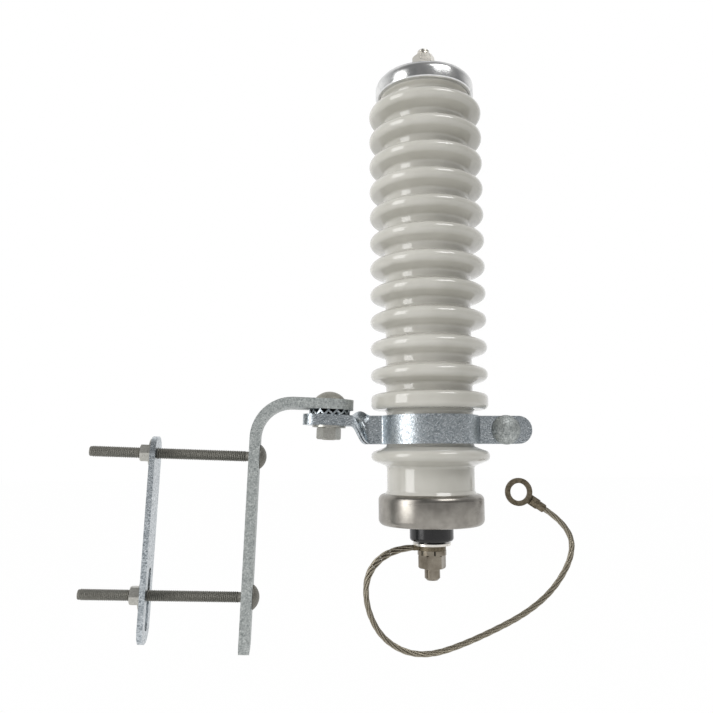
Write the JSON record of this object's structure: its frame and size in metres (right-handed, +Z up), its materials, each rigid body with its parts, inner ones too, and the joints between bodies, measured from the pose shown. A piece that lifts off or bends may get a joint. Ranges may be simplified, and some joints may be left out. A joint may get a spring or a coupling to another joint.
{
  "type": "distribution surge arrester",
  "caption": "Porcelain surge arrester with ribbed housing, metal end caps, clamp band, crossarm bracket and braided ground lead.",
  "frame": {"origin": "centre of the bracket leg's face that seats on the crossarm, midway between the two crossarm bolts", "axes": "+X from the crossarm to the arrester, +Y along the crossarm away from the clamp bolt's head, +Z up, parallel to the arrester's axis"},
  "size_m": [0.4356, 0.107, 0.5677],
  "materials": {
    "porcelain": "gloss grey glaze",
    "cap_steel": "bright plated",
    "foot_metal": "satin",
    "band_zinc": "bright galvanised with spangle",
    "bar_zinc": "dull hot-dip galvanised",
    "bolt_zinc": "dark galvanised",
    "nut_zinc": "galvanised",
    "terminal_steel": "plated",
    "moulding": "black gloss",
    "braid": "tinned copper strands",
    "lug": "dull tinned",
    "seal": "matt",
    "varistor": "metal oxide, ground faces",
    "contact": "plain"
  },
  "bodies": {
    "root": {"band_bolt": "bar_zinc", "band_nut": "nut_zinc", "band_washer": "nut_zinc", "base_contact_plate": "contact", "bottom_cap": "foot_metal", "bottom_gasket": "seal", "contact_spring": "contact", "crossarm_bolt_lower": "bolt_zinc", "crossarm_bolt_upper": "bolt_zinc", "crossarm_nut_lower": "nut_zinc", "crossarm_nut_upper": "nut_zinc", "crossarm_strap": "band_zinc", "crossarm_washer_lower": "nut_zinc", "crossarm_washer_upper": "nut_zinc", "disconnector_housing": "moulding", "front_band": "band_zinc", "ground_lead": "braid", "ground_lock_washer": "terminal_steel", "ground_nut": "terminal_steel", "ground_stud": "terminal_steel", "ground_washer": "terminal_steel", "hanger_bolt": "bolt_zinc", "hanger_nut": "nut_zinc", "hanger_washer": "nut_zinc", "lead_eye": "lug", "line_base_nut": "terminal_steel", "line_flat_washer": "terminal_steel", "line_spring_washer": "terminal_steel", "line_stud": "terminal_steel", "line_top_nut": "terminal_steel", "mounting_bracket": "bar_zinc", "porcelain_housing": "porcelain", "rear_band": "band_zinc", "ring_terminal": "lug", "toothed_washer": "band_zinc", "top_cap": "cap_steel", "top_contact_plate": "contact", "top_gasket": "seal", "varistor_block_1": "varistor", "varistor_block_2": "varistor", "varistor_block_3": "varistor", "varistor_block_4": "varistor", "varistor_block_5": "varistor", "varistor_block_6": "varistor", "varistor_block_7": "varistor", "varistor_block_8": "varistor", "varistor_block_9": "varistor"}
  },
  "joints": []
}
